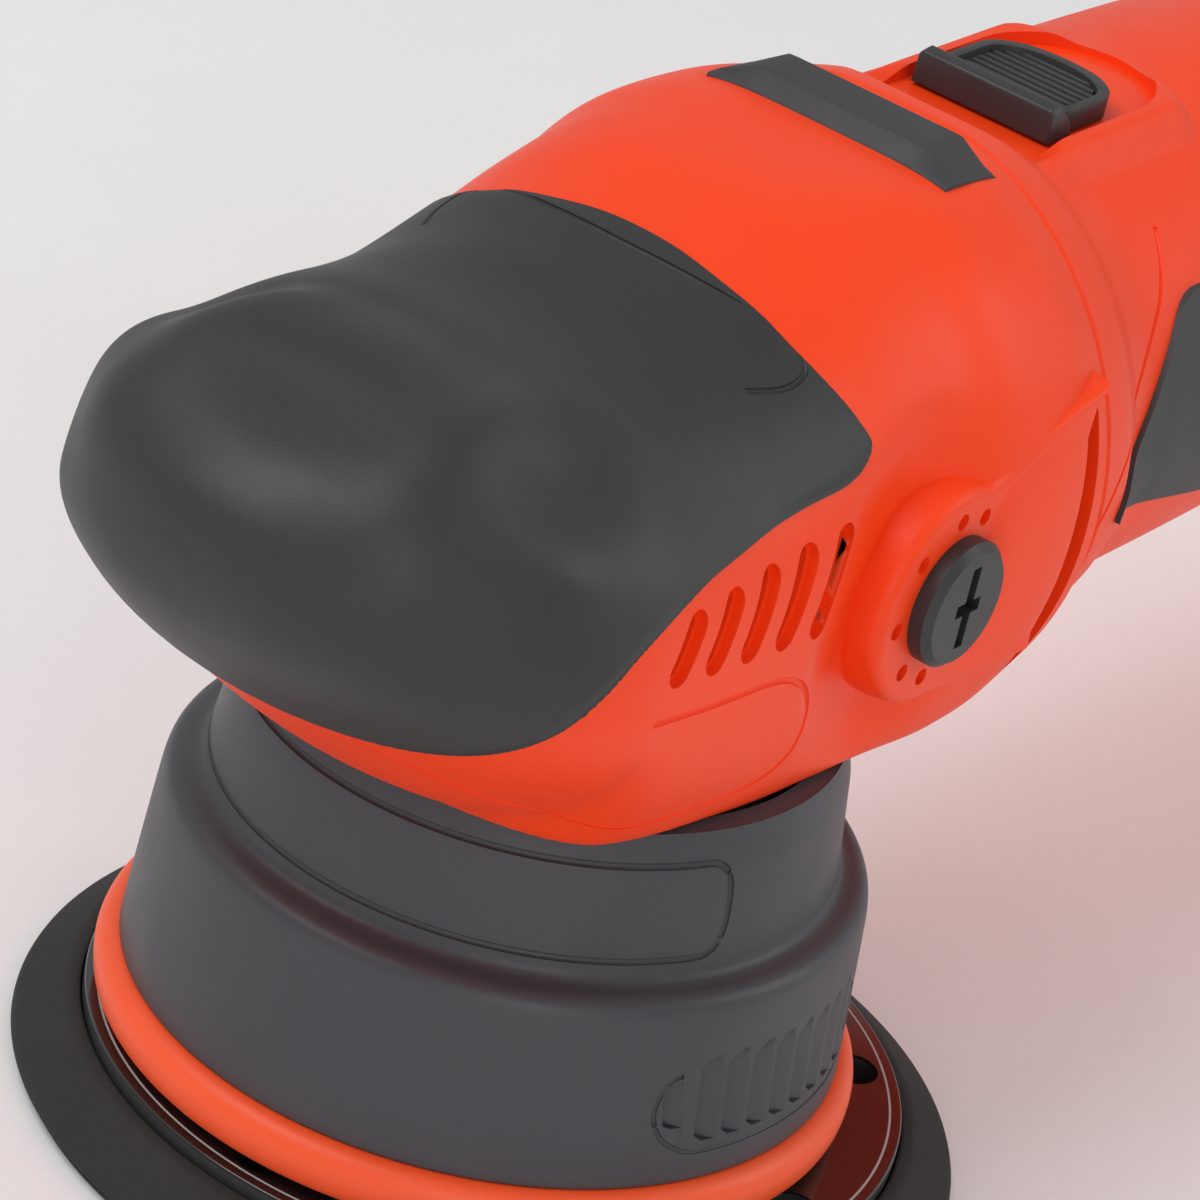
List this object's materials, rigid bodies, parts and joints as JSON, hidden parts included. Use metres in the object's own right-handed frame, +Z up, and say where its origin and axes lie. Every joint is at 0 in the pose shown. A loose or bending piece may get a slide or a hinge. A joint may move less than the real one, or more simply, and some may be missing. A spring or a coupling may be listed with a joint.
{
  "type": "dual action polisher",
  "caption": "Random-orbit car polisher: red gear head with rubber nose grip, barrel motor handle, skirted eccentric drive and round hook-face backing plate.",
  "frame": {"origin": "on the drive spindle axis, in the hook face of the backing plate", "axes": "+Z up along the spindle, +X from the spindle towards the handle's cable end, -Y the side seen with the nose to the left"},
  "size_m": [0.382, 0.125, 0.1376],
  "materials": {
    "red_plastic": "satin moulded",
    "grip_rubber": "matte stippled overmould",
    "inlay_rubber": "matte",
    "shroud_plastic": "fine grained",
    "ring_rubber": "satin",
    "black_plastic": "moulded",
    "plate_foam": "fine closed-cell foam",
    "hook_face": "hook face",
    "label_gloss": "glossy",
    "plate_plastic": "glass filled",
    "cast_alloy": "die cast",
    "cast_iron": "cast",
    "ground_steel": "ground",
    "bearing_steel": "polished",
    "spring_steel": "blackened",
    "screw_steel": "zinc plated",
    "lamination": "stacked sheet",
    "copper": "enamelled wire",
    "carbon": "graphite",
    "seal_rubber": "smooth",
    "circuit_green": "solder mask"
  },
  "bodies": {
    "root": {"head_housing": "red_plastic", "head_grip": "grip_rubber", "top_rest_pad": "inlay_rubber", "gear_case": "cast_alloy", "bearing_plate": "cast_alloy", "gearcase_screws": "screw_steel", "housing_screws": "screw_steel", "side_plugs": "black_plastic", "shroud": "shroud_plastic", "shroud_screws": "screw_steel", "bumper_ring": "ring_rubber", "lower_bearing": "bearing_steel", "upper_bearing": "bearing_steel", "shaft_seal": "seal_rubber", "front_motor_bearing": "bearing_steel", "rear_motor_bearing": "bearing_steel", "stator_core": "lamination", "field_coils": "copper", "fan_baffle": "black_plastic", "brush_holders": "cast_alloy", "brushes": "carbon", "brush_springs": "spring_steel", "brush_caps": "black_plastic", "motor_housing": "red_plastic", "side_inlay_left": "inlay_rubber", "side_inlay_right": "inlay_rubber", "handle_left": "red_plastic", "handle_right": "red_plastic", "handle_screws": "screw_steel", "end_cap": "black_plastic", "microswitch": "black_plastic", "speed_control": "circuit_green"},
    "drive_spindle": {"spindle": "ground_steel", "spindle_circlip": "spring_steel", "ring_gear": "ground_steel", "gear_key": "ground_steel", "counterweight": "cast_iron", "counterweight_screws": "screw_steel", "orbit_bearing_lower": "bearing_steel", "orbit_bearing_upper": "bearing_steel", "orbit_bearing_clip": "spring_steel"},
    "orbit_output": {"orbit_spindle": "ground_steel", "orbit_spacer": "ground_steel", "orbit_circlip": "spring_steel", "plate_hook": "hook_face", "plate_foam": "plate_foam", "plate_core": "plate_plastic", "plate_label": "label_gloss", "plate_stud": "ground_steel"},
    "armature": {"armature_shaft": "ground_steel", "pinion": "ground_steel", "fan": "black_plastic", "armature_core": "lamination", "armature_windings": "copper", "commutator": "copper"},
    "slide_switch": {"switch_button": "black_plastic", "switch_link": "black_plastic"},
    "dial": {"speed_dial": "black_plastic"}
  },
  "joints": [
    {"name": "spindle_spin", "type": "hinge", "parent": "root", "child": "drive_spindle", "pos_m": [0, 0, 0.05], "axis": [0, 0, 1], "continuous": true},
    {"name": "orbit_spin", "type": "hinge", "parent": "drive_spindle", "child": "orbit_output", "pos_m": [0.00332, -0.00224, 0.025], "axis": [0, 0, 1], "continuous": true},
    {"name": "armature_spin", "type": "hinge", "parent": "root", "child": "armature", "pos_m": [0.1, 0, 0.091], "axis": [1, 0, 0], "continuous": true},
    {"name": "switch_slide", "type": "slide", "parent": "root", "child": "slide_switch", "axis": [-1, 0, 0], "range_m": [0, 0.005]},
    {"name": "dial_turn", "type": "hinge", "parent": "root", "child": "dial", "pos_m": [0.262, 0, 0.113], "axis": [0, 1, 0], "range_deg": [0, 270]}
  ],
  "couplings": [
    {"joint": "armature_spin", "follows": "spindle_spin", "ratio": 3.0833}
  ]
}
